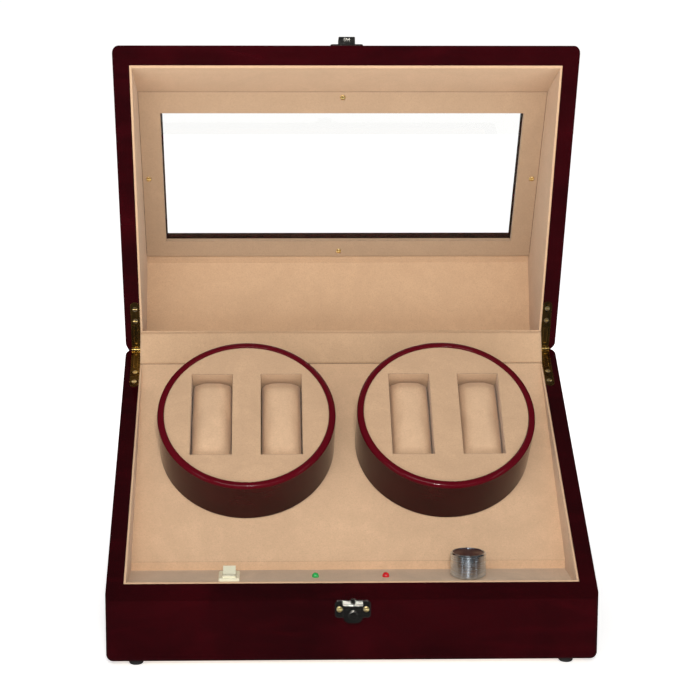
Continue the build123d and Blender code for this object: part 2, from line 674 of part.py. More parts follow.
def drum_pieces():
    """The turning pieces of one turntable, about its own axis."""
    ring = rod(drum_radius, drum_bottom, drum_top)
    ring = fillet(ring.edges().group_by(Axis.Z)[-1], drum_edge)
    ring = fillet(ring.edges().group_by(Axis.Z)[0], 0.8)
    ring -= rod(drum_inner, drum_bottom - 1, drum_top + 1)
    top_edges = [e for e in ring.edges() if abs(e.center().Z - drum_top) < 0.01]
    inner_top = [e for e in top_edges if e.radius < drum_inner + 0.1]
    ring = fillet(inner_top, 1.0)
    floor = rod(drum_inner - fit / 2, floor_low, floor_high) - rod(hub_spigot_radius + 0.05, 0, drum_top)
    face = rod(drum_inner - fit / 2, face_low, face_high)
    for offset in (-slot_offset, slot_offset):
        face += slot_prism(offset, well_wall, floor_high, face_low + 0.1)
    for offset in (-slot_offset, slot_offset):
        face -= slot_prism(offset, 0, floor_high - 1, face_high + 1)
    hub = rod(hub_radius, floor_high, floor_high + hub_height)
    hub += rod(hub_spigot_radius, floor_low, floor_high + 0.1)
    hub -= rod(shaft_radius + small_clearance, 0, drum_top)
    shaft = rod(shaft_radius, motor_floor - shaft_depth, floor_high + hub_height - 0.5)
    return {"drum_ring": ring, "drum_floor": floor, "drum_face": face, "drum_hub": hub,
            "output_shaft": shaft}


def pillow(x):
    """A plain watch pillow in its slot."""
    low = floor_high + pillow_floor_gap
    height = face_high - pillow_recess - low
    body = Pos(x, slot_shift, low) * Box(pillow_width, pillow_length, height,
                                         align=(Align.CENTER, Align.CENTER, Align.MIN))
    long_top = body.edges().filter_by(Axis.X).group_by(Axis.Z)[-1]
    body = fillet(long_top, pillow_radius)
    return fillet(body.edges().filter_by(Axis.Z), pillow_edge)


def motor():
    """A gear motor hung under the deck, with its bored output boss."""
    body = rod(motor_radius, motor_floor - motor_length, motor_floor)
    body = fillet(body.edges().group_by(Axis.Z)[0], 1.5)
    can_top = motor_floor - motor_length
    body += rod(motor_can_radius, can_top - motor_can_length, can_top + 1)
    body += rod(motor_boss_radius, motor_floor - 1, -0.6)
    ears = Pos(0, 0, motor_floor - motor_ear_thickness) * Box(motor_ear_width, motor_ear_depth,
                                                              motor_ear_thickness,
                                                              align=(Align.CENTER, Align.CENTER, Align.MIN))
    body += fillet(ears.edges().filter_by(Axis.Z), 4.0)
    body -= rod(shaft_radius + running_clearance, motor_floor - shaft_depth - 0.5, 1)
    for ear in (-1, 1):
        body -= rod(screw_shank[0] + small_clearance, motor_floor - 5, 0, ear * motor_screw_spacing / 2, 0)
    return body


motor_screws = []
for name, side in (("left", -1), ("right", 1)):
    seat = deck_plane * Pos(side * drum_spacing / 2, drum_along, 0)
    for piece_name, piece in drum_pieces().items():
        nodes[piece_name + "_" + name] = seat * piece
    nodes["pillow_" + name + "_outer"] = seat * pillow(side * slot_offset)
    nodes["pillow_" + name + "_inner"] = seat * pillow(-side * slot_offset)
    nodes["gear_motor_" + name] = seat * motor()
    for ear in (-1, 1):
        top = motor_floor - motor_ear_thickness
        pan = rod(2.2, top - 1.6, top) + rod(screw_shank[0], top, top + motor_ear_thickness + 4.0)
        motor_screws.append(seat * Pos(ear * motor_screw_spacing / 2, 0, 0) * pan)
nodes["motor_screws"] = group(motor_screws)

# ================================================================ wiring inside the base
wire_radius = 0.9
wire_drop_share = 0.64       # of a motor's height over the board, where its lead starts to turn
terminal_gap = 0.05


def wire(points, bend):
    """A two-core lead along straight runs joined by arcs."""
    route = FilletPolyline(*points, radius=bend)
    return sweep(Plane(origin=route @ 0, z_dir=route % 0) * Circle(wire_radius), path=route)


def board_terminal(terminal, side):
    """The point on a block's side face where a lead is plugged in."""
    x, y, sx, sy, height = terminal
    return (x + side * (sx / 2 + terminal_gap), board_y + y, chip_top + height / 2)


def deck_point(x, along, height):
    """A point given along the deck and above its surface."""
    return (x, lip_y + along * math.cos(deck_angle) - height * math.sin(deck_angle),
            lip_z + along * math.sin(deck_angle) + height * math.cos(deck_angle))


motor_end = motor_floor - motor_length - motor_can_length - terminal_gap
wires = []
end = board_terminal(power_block, 1)
jack_back = case_depth - jack_depth
wires.append(wire([(jack_x, jack_back - terminal_gap, jack_z), (jack_x, back_inner - 30, jack_z),
                   (jack_x - 25, back_inner - 55, jack_z - 4), (end[0] + 24, end[1] + 2, end[2]), end], 9))
for terminal, side in ((driver_block, -1), (power_block, 1)):
    x = side * drum_spacing / 2
    end = board_terminal(terminal, side)
    if side > 0:
        end = (end[0], end[1] + 3.5, end[2])
    start = deck_point(x, drum_along, motor_end)
    below = deck_point(x, drum_along, motor_end - 7)
    dropped = end[2] + wire_drop_share * (below[2] - end[2])
    wires.append(wire([start, below, (x, below[1], dropped), (x - side * 4, below[1] - 25, end[2] + 12),
                       (end[0] + side * 18, end[1] + 8, end[2]), end], 5))
end = board_terminal(switch_block, -1)
wires.append(wire([(switch_x, controls_y, shelf_height - switch_depth - tab_reach - terminal_gap),
                   (switch_x, controls_y + 3, bottom_top + 9),
                   (switch_x + 16, controls_y + 30, bottom_top + 6),
                   (end[0] - 18, end[1] - 2, end[2]), end], 6))
end = board_terminal(speed_block, 1)
start_z = under_shelf - 4
wires.append(wire([(selector_x, controls_y + selector_radius + 4 + terminal_gap, start_z),
                   (selector_x, controls_y + selector_radius + 14, start_z - 6),
                   (selector_x - 16, controls_y + selector_radius + 32, end[2] + 6),
                   (end[0] + 16, end[1] - 2, end[2]), end], 6))
nodes["wiring"] = group(wires)

# ================================================================ lid carcass, closed
lid_gap = closing_gap / math.cos(math.radians(parting_angle))
outer_lift = panel_thickness + frame_thickness
lid_outline = [(0, rim_z(0) + lid_gap), (0, window_line_z(0, outer_lift)),
               (window_line_y(case_height, outer_lift), case_height), (case_depth, case_height),
               (case_depth, rim_z(case_depth) + lid_gap)]
lid = prism(lid_outline, -half, half)
lid_rim = lid.edges().filter_by(lambda e: abs(e.center().Z - rim_z(e.center().Y) - lid_gap) < 0.01)
lid = fillet([e for e in lid.edges() if e not in lid_rim], edge_radius)
ceiling = case_height - wall
lid_inner_outline = [(wall, front_height / 2), (wall, window_line_z(wall, panel_thickness)),
                     (window_line_y(ceiling, panel_thickness), ceiling), (back_inner, ceiling),
                     (back_inner, front_height / 2)]
lid -= prism(lid_inner_outline, -inner_half, inner_half)
for notch in notch_cuts:
    lid -= notch
for side in (-1, 1):
    lid -= leaf_bed(side, True)
    for hole in leaf_screw_holes(side, True):
        lid -= hole

# window opening with a rabbet for the glass
opening_middle = window_margin_front + window_opening[1] / 2
frame_opening = (window_opening[0] - 2 * frame_lip, window_opening[1] - 2 * frame_lip)
glass_size = (frame_opening[0] + 2 * glass_overlap, frame_opening[1] + 2 * glass_overlap)


def window_box(size, low, high):
    """A rectangle on the window's slope, between two lifts above the suede panel's inner face."""
    return window_plane * Pos(0, opening_middle, low) * Box(size[0], size[1], high - low,
                                                            align=(Align.CENTER, Align.CENTER, Align.MIN))


lid -= window_box(frame_opening, 0, outer_lift + 5)
sloping = lid.faces().filter_by(lambda f: (f.normal_at() - Vector(*window_normal)).length < 0.001)
outer_face = sloping.sort_by(SortBy.AREA)[-1]
lid = fillet(outer_face.inner_wires()[0].edges(), window_round)
rabbet = (glass_size[0] + 2 * fit, glass_size[1] + 2 * fit)
lid -= window_box(rabbet, panel_thickness - 1, panel_thickness + glass_thickness + fit)

hasp_low = rim_z(0) + lid_gap + 0.3
hasp_middle = hasp_low + hasp_ears[1] / 2
panel_screw_places = [(0, panel_screw_inset), (0, panel_length - panel_screw_inset),
                      (-inner_half + lining + panel_screw_inset, opening_middle),
                      (inner_half - lining - panel_screw_inset, opening_middle)]
panel_screw_length = panel_thickness + 5
for side in (-1, 1):
    lid -= front_plane * pilot(side * fitting_screw_x, hasp_middle, 0)
for x, along in panel_screw_places:
    lid -= window_plane * Pos(x, along, 0) * Rot(180, 0, 0) * pilot(0, 0, 0, panel_screw_length)

corner_front = [(0, window_line_z(0, outer_lift)), (wall, window_line_z(wall, panel_thickness))]
corner_top = [(window_line_y(case_height, outer_lift), case_height),
              (window_line_y(ceiling, panel_thickness), ceiling)]
corner_back = [(case_depth, case_height), (back_inner, ceiling)]


def beyond(corner, reach):
    """The mitre line's outer end, carried on past the corner."""
    (y0, z0), (y1, z1) = corner
    return (y0 + (y0 - y1) * reach, z0 + (z0 - z1) * reach)


front_region = prism([(-1, 0), (wall, 0), corner_front[1], beyond(corner_front, 0.5)],
                     -inner_half, inner_half)
slope_region = prism([corner_front[1], beyond(corner_front, 0.5), beyond(corner_top, 0.5), corner_top[1]],
                     -inner_half, inner_half)
top_region = prism([corner_top[1], beyond(corner_top, 0.5), beyond(corner_back, 0.5), corner_back[1]],
                   -inner_half, inner_half)
back_region = prism([(back_inner, 0), corner_back[1], beyond(corner_back, 0.5), (case_depth + 6, 0)],
                    -inner_half, inner_half)
lid_nodes = {}
lid_nodes["lid_front_wall"] = lid & front_region
lid_nodes["window_frame"] = lid & slope_region
lid_nodes["lid_top_board"] = lid & top_region
lid_nodes["lid_back_wall"] = lid & back_region
lid_nodes["lid_left_wall"] = lid & left_half
lid_nodes["lid_right_wall"] = lid & right_half

# ================================================================ glass, suede panel and its screws
lid_nodes["window_glass"] = window_box(glass_size, panel_thickness + small_clearance,
                                       panel_thickness + glass_thickness)
panel_half = inner_half - lining - fit
panel = window_plane * block(-panel_half, panel_half, fit, panel_length, 0, panel_thickness)
panel &= block(-half, half, panel_y, back_inner, 0, case_height)
panel -= window_box(window_opening, -1, panel_thickness + 1)
panel_screws = []
for x, along in panel_screw_places:
    seat = window_plane * Pos(x, along, 0) * Rot(180, 0, 0)
    panel -= seat * pilot(0, 0, 0, panel_screw_length)
    panel_screws.append(seat * screw(0, 0, 0, panel_screw_length))
lid_nodes["window_panel"] = panel

# ================================================================ suede linings in the lid
lid_low = lid_gap + lining_drop
front_board = prism([(wall + glue, rim_z(wall) + lid_low), (panel_y, rim_z(panel_y) + lid_low),
                     (panel_y, window_line_z(panel_y, 0) - glue),
                     (wall + glue, window_line_z(wall + glue, 0) - glue)], -lining_x, lining_x)
lining_ceiling = ceiling - lining
lining_back = back_inner - lining
fold_lift = panel_thickness - lining


def window_point(along, lift):
    """The (y, z) point a given distance up the window's slope and outside the suede panel's inner face."""
    return (panel_y + along * math.cos(window_angle) - lift * math.sin(window_angle),
            panel_front_z + along * math.sin(window_angle) + lift * math.cos(window_angle))


panel_tail = window_line_y(lining_ceiling, fold_lift)
lid_side_outline = [(side_start, rim_z(side_start) + lid_low),
                    (side_start, window_line_z(side_start, 0) - glue),
                    window_point(panel_length + fit, -glue),
                    window_point(panel_length + fit, fold_lift - glue),
                    (window_line_y(lining_ceiling - glue, fold_lift - glue), lining_ceiling - glue),
                    (lining_back - glue, lining_ceiling - glue),
                    (lining_back - glue, rim_z(lining_back) + lid_low)]
lid_sides = [prism(lid_side_outline, inner_half - lining, lining_x),
             prism(lid_side_outline, -lining_x, -inner_half + lining)]
ceiling_lining = prism([window_point(panel_length + fit, fold_lift), (panel_tail, lining_ceiling),
                        (back_face, lining_ceiling), (back_face, ceiling - glue),
                        (window_line_y(ceiling - glue, panel_thickness - glue), ceiling - glue),
                        window_point(panel_length + fit, panel_thickness - glue)], -lining_x, lining_x)
back_lining = prism([(lining_back, rim_z(lining_back) + lid_low), (back_face, rim_z(back_face) + lid_low),
                     (back_face, lining_ceiling - glue), (lining_back, lining_ceiling - glue)],
                    -lining_x, lining_x)
lid_nodes["lid_linings"] = group([front_board] + lid_sides + [ceiling_lining, back_lining])
lid_nodes["hinge_lid_leaves"] = group(lid_leaves)

# ================================================================ hasp on the lid
hasp = Pos(0, hasp_middle, 0) * Box(hasp_ears[0], hasp_ears[1], hasp_ears[2],
                                    align=(Align.CENTER, Align.CENTER, Align.MIN))
hasp = fillet(hasp.edges().filter_by(Axis.Z), 2.0)
catch = Pos(0, hasp_low + hasp_block[1] / 2, 0) * Box(hasp_block[0], hasp_block[1], hasp_proud,
                                                      align=(Align.CENTER, Align.CENTER, Align.MIN))
catch = fillet(catch.edges().group_by(Axis.Z)[-1], 1.0)
hasp += catch
hasp -= block(-hook[0] / 2 - 0.8, hook[0] / 2 + 0.8, hasp_low - 1, rim_z(0) + hook[2] + 2.0,
              hasp_ears[2], hook_front + 0.9)
for side in (-1, 1):
    hasp -= pilot(side * fitting_screw_x, hasp_middle, hasp_ears[2])
    lid_fitting_screws.append(front_plane * screw(side * fitting_screw_x, hasp_middle, hasp_ears[2]))
lid_nodes["hasp"] = front_plane * hasp
lid_nodes["lid_screws"] = group(lid_fitting_screws + panel_screws)

# ================================================================ open the lid
opened = Pos(0, hinge_y, hinge_z) * Rot(-lid_opening, 0, 0) * Pos(0, -hinge_y, -hinge_z)
for name, piece in lid_nodes.items():
    nodes[name] = opened * piece


def swung(y, z):
    """Where a point of the closed lid is with the lid open."""
    a = math.radians(lid_opening)
    dy = y - hinge_y
    dz = z - hinge_z
    return (hinge_y + dy * math.cos(a) + dz * math.sin(a), hinge_z - dy * math.sin(a) + dz * math.cos(a))


# ================================================================ suede flap over the hinge line
# It stands on the deck against the back wall, bends at the rim and runs up to the lid's rim.
flap_foot = on_deck_line(back_inner, 0) + glue
flap_low = (back_inner - glue, rim_z(back_inner))
flap_high = swung(back_inner, rim_z(back_inner) + lid_gap)
run = (flap_high[0] - flap_low[0], flap_high[1] - flap_low[1])
run_length = math.hypot(*run)
across = (-run[1] / run_length * flap_thickness, run[0] / run_length * flap_thickness)
flap_face = flap_low[0] - flap_thickness
bend_share = (flap_face - flap_low[0] - across[0]) / run[0]
flap_bend = (flap_face, flap_low[1] + across[1] + bend_share * run[1])
nodes["hinge_flap"] = prism([(flap_low[0], flap_foot), flap_low, flap_high,
                             (flap_high[0] + across[0], flap_high[1] + across[1]), flap_bend,
                             (flap_face, flap_foot)], -lining_x, lining_x)

# ================================================================ origin and export
boxes = [piece.bounding_box() for piece in nodes.values()]
y_front = min(box.min.Y for box in boxes)
y_rear = max(box.max.Y for box in boxes)
y_origin = (y_front + y_rear) / 2
to_origin = Pos(0, -y_origin, foot_drop)

os.makedirs("parts", exist_ok=True)
for name, piece in nodes.items():
    export_step(to_origin * piece, "parts/" + name + ".step")
print(len(nodes), "nodes; the case's front face is at y", round(-y_origin, 4))
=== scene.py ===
"""Looks of the watch winder box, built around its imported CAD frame.  Metres, row frame."""

import json
import math

import bmesh
import bpy
from mathutils import Matrix, Vector, noise


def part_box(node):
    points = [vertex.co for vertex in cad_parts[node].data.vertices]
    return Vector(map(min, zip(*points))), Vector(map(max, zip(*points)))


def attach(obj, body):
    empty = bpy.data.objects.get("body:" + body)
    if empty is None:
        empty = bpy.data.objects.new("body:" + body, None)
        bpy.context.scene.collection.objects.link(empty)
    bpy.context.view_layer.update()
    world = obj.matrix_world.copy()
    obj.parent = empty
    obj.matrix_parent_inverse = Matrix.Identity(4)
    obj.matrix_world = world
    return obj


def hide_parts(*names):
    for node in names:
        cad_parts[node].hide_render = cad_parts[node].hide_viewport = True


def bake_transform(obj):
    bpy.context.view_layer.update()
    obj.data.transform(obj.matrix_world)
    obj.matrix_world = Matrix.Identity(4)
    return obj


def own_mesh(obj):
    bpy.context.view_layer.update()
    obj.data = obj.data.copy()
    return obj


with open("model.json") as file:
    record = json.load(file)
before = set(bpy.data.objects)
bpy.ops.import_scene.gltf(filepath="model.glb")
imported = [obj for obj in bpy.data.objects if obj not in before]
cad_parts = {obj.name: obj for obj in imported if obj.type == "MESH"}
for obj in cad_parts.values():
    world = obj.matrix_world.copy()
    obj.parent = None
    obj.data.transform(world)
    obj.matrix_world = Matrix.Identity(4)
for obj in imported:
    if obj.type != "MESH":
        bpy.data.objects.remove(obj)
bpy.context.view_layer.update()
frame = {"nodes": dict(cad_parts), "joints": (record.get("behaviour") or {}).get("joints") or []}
cad = frame["nodes"]
joints = {joint["name"]: joint for joint in frame["joints"]}
deck_normal = Vector(joints["turn_left"]["axis"]).normalized()
deck_up = Vector((0, deck_normal.z, -deck_normal.y))
across = Vector((1, 0, 0))
case_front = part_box("base_front_wall")[0].y
case_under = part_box("base_front_wall")[0].z


# ---------------------------------------------------------------- node graphs
class Graph:
    """A Principled material and short ways to add nodes to it."""

    def __init__(self, name):
        self.material = bpy.data.materials.new(name)
        self.material.use_nodes = True
        self.tree = self.material.node_tree
        self.shader = next(n for n in self.tree.nodes if n.type == "BSDF_PRINCIPLED")
        self.place = self.add("ShaderNodeTexCoord").outputs["Object"]

    def add(self, kind, **settings):
        node = self.tree.nodes.new(kind)
        for key, value in settings.items():
            setattr(node, key, value)
        return node

    def join(self, value, socket):
        if isinstance(value, bpy.types.NodeSocket):
            self.tree.links.new(value, socket)
        else:
            socket.default_value = value

    def set(self, **values):
        for key, value in values.items():
            self.shader.inputs[key.replace("_", " ")].default_value = value

    def stretched(self, scale, rotation=(0, 0, 0), where=None):
        node = self.add("ShaderNodeMapping")
        self.join(where or self.place, node.inputs["Vector"])
        node.inputs["Scale"].default_value = scale
        node.inputs["Rotation"].default_value = rotation
        return node.outputs["Vector"]

    def noise(self, scale, detail=3.0, rough=0.5, warp=0.0, where=None):
        node = self.add("ShaderNodeTexNoise")
        self.join(where or self.place, node.inputs["Vector"])
        node.inputs["Scale"].default_value = scale
        node.inputs["Detail"].default_value = detail
        node.inputs["Roughness"].default_value = rough
        node.inputs["Distortion"].default_value = warp
        return node.outputs["Fac"]

    def span(self, value, low, high, to_low=0.0, to_high=1.0):
        node = self.add("ShaderNodeMapRange")
        self.join(value, node.inputs["Value"])
        for key, number in (("From Min", low), ("From Max", high), ("To Min", to_low), ("To Max", to_high)):
            node.inputs[key].default_value = number
        return node.outputs["Result"]

    def maths(self, operation, a, b=0.0):
        node = self.add("ShaderNodeMath", operation=operation)
        self.join(a, node.inputs[0])
        self.join(b, node.inputs[1])
        return node.outputs[0]

    def mix(self, factor, a, b, blend="MIX"):
        node = self.add("ShaderNodeMix", data_type="RGBA", blend_type=blend)
        self.join(factor, node.inputs["Factor"])
        self.join(a, node.inputs["A"])
        self.join(b, node.inputs["B"])
        return next(s for s in node.outputs if s.name == "Result" and s.type == "RGBA")

    def bump(self, height, distance, strength=1.0, after=None):
        node = self.add("ShaderNodeBump")
        self.join(height, node.inputs["Height"])
        node.inputs["Distance"].default_value = distance
        node.inputs["Strength"].default_value = strength
        if after is not None:
            self.join(after, node.inputs["Normal"])
        return node.outputs["Normal"]

    def edges(self, reach=0.0005):
        """1 along the edges of a piece, 0 on its flat faces."""
        rounded = self.add("ShaderNodeBevel", samples=4)
        rounded.inputs["Radius"].default_value = reach
        compare = self.add("ShaderNodeVectorMath", operation="DOT_PRODUCT")
        self.join(rounded.outputs["Normal"], compare.inputs[0])
        self.join(self.add("ShaderNodeNewGeometry").outputs["Normal"], compare.inputs[1])
        return self.span(compare.outputs["Value"], 0.995, 0.85)

    def finish(self, colour=None, rough=None, normal=None):
        if colour is not None:
            self.join(colour, self.shader.inputs["Base Color"])
        if rough is not None:
            self.join(rough, self.shader.inputs["Roughness"])
        if normal is not None:
            self.join(normal, self.shader.inputs["Normal"])
        return self.material


def shade(rgb, factor=1.0):
    """A linear colour, made lighter or darker."""
    return tuple(min(1.0, channel * factor) for channel in rgb) + (1.0,)


# ---------------------------------------------------------------- materials
def lacquer(name, rgb, depth_rgb, coat, gloss=0.12, painted_highlight_band=None):
    """High-gloss tinted piano lacquer: cloudy depth under a clear coat with a faint ripple.

    An optional pair of heights out of the deck, between which the lacquer's red is painted lighter: a
    painted highlight along the top of the ring.
    """
    g = Graph(name)
    cloud = g.noise(14, 3, 0.55, 0.6)
    grain = g.noise(60, 4, 0.6, 1.2, g.stretched((0.18, 1.0, 1.0)))
    colour = g.mix(g.span(cloud, 0.35, 0.68), shade(depth_rgb), shade(rgb))
    colour = g.mix(g.span(grain, 0.5, 0.75, 0.0, 0.35), colour, shade(rgb, 1.7))
    if painted_highlight_band is not None:
        height = g.add("ShaderNodeVectorMath", operation="DOT_PRODUCT")
        g.join(g.place, height.inputs[0])
        height.inputs[1].default_value = deck_normal
        # painted highlight: the top band of each drum ring is painted a lighter red
        colour = g.mix(g.span(height.outputs["Value"], *painted_highlight_band), colour, shade(rgb, 2.6))
    ripple = g.bump(g.noise(38, 2, 0.4), 0.00018, 0.22)
    haze = g.span(g.noise(220, 3, 0.6), 0.3, 0.8, 0.13, 0.19)
    g.set(Coat_Weight=coat, Coat_Roughness=0.035, Coat_IOR=1.45, Specular_IOR_Level=gloss)
    g.join(ripple, g.shader.inputs["Coat Normal"])
    return g.finish(colour, haze, ripple)


def suede(name, rgb, nap=1.0, streak=(1.0, 0.35, 1.0), painted_edge_shade=0.0):
    """Faux suede: brushed patches of nap, flecks, fine fibres, optional painted shade along edges and
    creases, and a soft sheen.
    """
    g = Graph(name)
    patches = g.noise(21, 4, 0.62, 1.4)
    strokes = g.noise(95, 4, 0.6, 0.8, g.stretched(streak))
    fibres = g.noise(1500, 3, 0.65)
    specks = g.noise(620, 2, 0.5)
    colour = g.mix(g.span(patches, 0.32, 0.70), shade(rgb, 1 - 0.09 * nap), shade(rgb, 1 + 0.05 * nap))
    colour = g.mix(g.span(strokes, 0.42, 0.66, 0.0, 0.42 * nap), colour, shade(rgb, 0.88))
    colour = g.mix(g.span(fibres, 0.35, 0.70, 0.0, 0.42), colour, shade(rgb, 0.74))
    colour = g.mix(g.span(specks, 0.56, 0.75, 0.0, 0.25), colour, shade(rgb, 1.12))
    colour = g.mix(g.span(g.noise(880, 2, 0.6), 0.30, 0.50, 0.55, 0.0), colour, shade(rgb, 0.78))
    # painted shade: darkens the suede along its edges and creases
    if painted_edge_shade:
        colour = g.mix(g.maths("MULTIPLY", g.edges(0.0009), painted_edge_shade), colour, shade(rgb, 0.30))
    height = g.maths("ADD", g.maths("MULTIPLY", fibres, 0.6), g.maths("MULTIPLY", strokes, 0.5))
    normal = g.bump(height, 0.00035, 0.55)
    normal = g.bump(g.noise(9, 2, 0.5), 0.0012, 0.25, normal)
    g.set(Sheen_Weight=0.22, Sheen_Roughness=0.45, Sheen_Tint=(1.0, 0.90, 0.80, 1.0))
    g.set(Specular_IOR_Level=0.12)
    return g.finish(colour, g.span(strokes, 0.3, 0.7, 0.90, 0.98), normal)


def metal(name, rgb, rough, streak=(1, 1, 1), tarnish=0.25, scale=420):
    """Plated or drawn metal with fine brushing, darkened smudges and a painted highlight along its edges.
    """
    g = Graph(name)
    brushed = g.noise(scale, 3, 0.6, 0.0, g.stretched(streak))
    smudge = g.noise(120, 3, 0.6, 0.8)
    colour = g.mix(g.span(smudge, 0.45, 0.72, 0.0, tarnish), shade(rgb), shade(rgb, 0.55))
    # painted highlight: the metal's edges are painted much lighter
    colour = g.mix(g.maths("MULTIPLY", g.edges(0.0008), 0.9), colour, shade(rgb, 3.2))
    g.set(Metallic=1.0)
    brushing = g.span(brushed, 0.3, 0.7, rough * 0.7, rough * 1.3)
    roughness = g.maths("ADD", brushing, g.span(smudge, 0.4, 0.8, 0, 0.1))
    return g.finish(colour, roughness, g.bump(brushed, 0.00005, 0.35))


def plastic(name, rgb, rough, grain=900, relief=0.00004, coat=0.0):
    """Moulded plastic with a fine spark texture and faint scuffs."""
    g = Graph(name)
    spark = g.noise(grain, 2, 0.5)
    scuff = g.noise(150, 4, 0.65, 2.0, g.stretched((1.0, 0.2, 1.0)))
    colour = g.mix(g.span(scuff, 0.60, 0.78, 0.0, 0.3), shade(rgb), shade(rgb, 0.82))
    # painted highlight: the plastic's edges are painted a little lighter
    colour = g.mix(g.maths("MULTIPLY", g.edges(), 0.25), colour, shade(rgb, 1.15))
    g.set(Coat_Weight=coat, Coat_Roughness=0.12, Specular_IOR_Level=0.4)
    roughness = g.span(scuff, 0.3, 0.8, rough * 0.85, min(1.0, rough * 1.3))
    return g.finish(colour, roughness, g.bump(spark, relief, 0.5))


def board(name, rgb):
    """Raw fibre board: chips, dust and a soft felted surface."""
    g = Graph(name)
    chips = g.noise(420, 4, 0.7, 0.6)
    clouds = g.noise(18, 3, 0.5)
    colour = g.mix(g.span(chips, 0.35, 0.7), shade(rgb, 0.8), shade(rgb, 1.1))
    colour = g.mix(g.span(clouds, 0.4, 0.7, 0.0, 0.4), colour, shade(rgb, 0.85))
    g.set(Specular_IOR_Level=0.2)
    return g.finish(colour, g.span(chips, 0.3, 0.8, 0.75, 0.95), g.bump(chips, 0.0002, 0.5))


def lamp(name, rgb):
    """Tinted clear epoxy, lit faintly from inside."""
    g = Graph(name)
    depth = g.noise(700, 2, 0.5)
    colour = g.mix(g.span(depth, 0.4, 0.7), shade(rgb, 0.7), shade(rgb, 1.2))
    g.join(colour, g.shader.inputs["Emission Color"])
    g.set(Emission_Strength=0.18, Coat_Weight=0.6, Coat_Roughness=0.05, Transmission_Weight=0.2, IOR=1.5)
    return g.finish(colour, 0.16, g.bump(depth, 0.00003, 0.3))


def glass():
    """Clear float glass with the faintest dust and smears."""
    g = Graph("float_glass")
    smear = g.noise(40, 4, 0.6, 2.5, g.stretched((1.0, 0.3, 0.3)))
    g.set(Transmission_Weight=1.0, IOR=1.46, Specular_IOR_Level=0.4)
    tint = g.mix(g.span(smear, 0.5, 0.8, 0.0, 0.06), shade((0.99, 1.0, 0.995)), shade((0.90, 0.93, 0.92)))
    return g.finish(tint, g.span(smear, 0.5, 0.85, 0.0, 0.02))


def turned_aluminium():
    """The knob: turned rings round its skirt, and a dark burgundy disc let into its top."""
    low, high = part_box("selector_knob")
    centre = (low + high) / 2
    radius = (high.x - low.x) / 2
    g = Graph("turned_aluminium")
    local = g.add("ShaderNodeVectorMath", operation="SUBTRACT")
    g.join(g.place, local.inputs[0])
    local.inputs[1].default_value = (centre.x, centre.y, low.z)
    parts = g.add("ShaderNodeSeparateXYZ")
    g.join(local.outputs[0], parts.inputs[0])
    squares = [g.maths("POWER", parts.outputs[index], 2.0) for index in (0, 1)]
    reach = g.maths("SQRT", g.maths("ADD", *squares))
    turning = g.noise(1.0, 2, 0.6, 0.0, g.stretched((30, 30, 5200), where=local.outputs[0]))
    smudge = g.noise(160, 3, 0.6, 0.6)
    smudged = g.span(smudge, 0.45, 0.7, 0.0, 0.3)
    metal_tone = g.mix(smudged, shade((0.66, 0.75, 0.84)), shade((0.50, 0.56, 0.62)))
    on_top = g.maths("GREATER_THAN", parts.outputs[2], high.z - low.z - 0.0012)
    inside = g.maths("LESS_THAN", reach, radius - 0.00165)
    disc = g.maths("MULTIPLY", on_top, inside)
    grain = g.span(g.noise(500, 3), 0.3, 0.7)
    disc_tone = g.mix(grain, shade((0.045, 0.012, 0.014)), shade((0.085, 0.026, 0.024)))
    colour = g.mix(disc, metal_tone, disc_tone)
    g.join(g.maths("SUBTRACT", 1.0, disc), g.shader.inputs["Metallic"])
    rough = g.maths("ADD", g.span(turning, 0.3, 0.7, 0.16, 0.30), g.maths("MULTIPLY", disc, 0.2))
    grooves = g.add("ShaderNodeTangent", direction_type="RADIAL", axis="Z")
    g.join(grooves.outputs[0], g.shader.inputs["Tangent"])
    g.set(Anisotropic=0.85, Anisotropic_Rotation=0.25)
    return g.finish(colour, rough, g.bump(turning, 0.00004, 0.25))


drum_crest = max(v.co.dot(deck_normal) for v in cad["drum_ring_left"].data.vertices)
burgundy = lacquer("burgundy_lacquer", (0.027, 0.0005, 0.0018), (0.014, 0.0004, 0.0012), 0.6)
# The drum lacquer is a lighter copy of the case lacquer, painted lighter for the light the drum rings
# catch; its crest band is a painted highlight.
drum_burgundy = lacquer("drum_lacquer", (0.032, 0.0010, 0.0026), (0.019, 0.0006, 0.0016), 0.30, 0.02,
                        (drum_crest - 0.0036, drum_crest - 0.0014))
# Besides their nap, these suede copies differ in tone as painted light and shade: the window panel, lid
# linings, drum faces and cushions are painted darker and the shelf lighter than the deck's suede, to match
# how brightly each surface is lit.
beige_suede = suede("beige_suede", (0.69, 0.462, 0.292), painted_edge_shade=0.6)
panel_suede = suede("panel_suede", (0.43, 0.292, 0.186), 0.8, painted_edge_shade=0.3)
lid_suede = suede("lid_suede", (0.59, 0.390, 0.240), 0.8)
shelf_suede = suede("shelf_suede", (0.67, 0.495, 0.350), 1.6)
face_suede = suede("face_suede", (0.55, 0.366, 0.229), 1.25, (0.5, 1.0, 1.0), 0.7)
pillow_suede = suede("pillow_suede", (0.63, 0.426, 0.272), 1.3, (1.0, 0.5, 0.5))
brass = metal("aged_brass", (0.26, 0.17, 0.055), 0.26, (1.0, 1.0, 0.10), 0.3, 160)
bright_brass = metal("bright_brass", (0.92, 0.70, 0.28), 0.30)
nickel = metal("polished_nickel", (0.24, 0.235, 0.22), 0.14, (0.15, 1.0, 1.0))
steel = metal("zinc_steel", (0.52, 0.52, 0.54), 0.35)
spring_wire = metal("spring_wire", (0.45, 0.45, 0.47), 0.3)
knob_metal = turned_aluminium()
rubber = plastic("moulded_rubber", (0.018, 0.017, 0.017), 0.75, 500, 0.00012)
cream = plastic("cream_plastic", (0.86, 0.84, 0.64), 0.30, 900, 0.00003, 0.3)
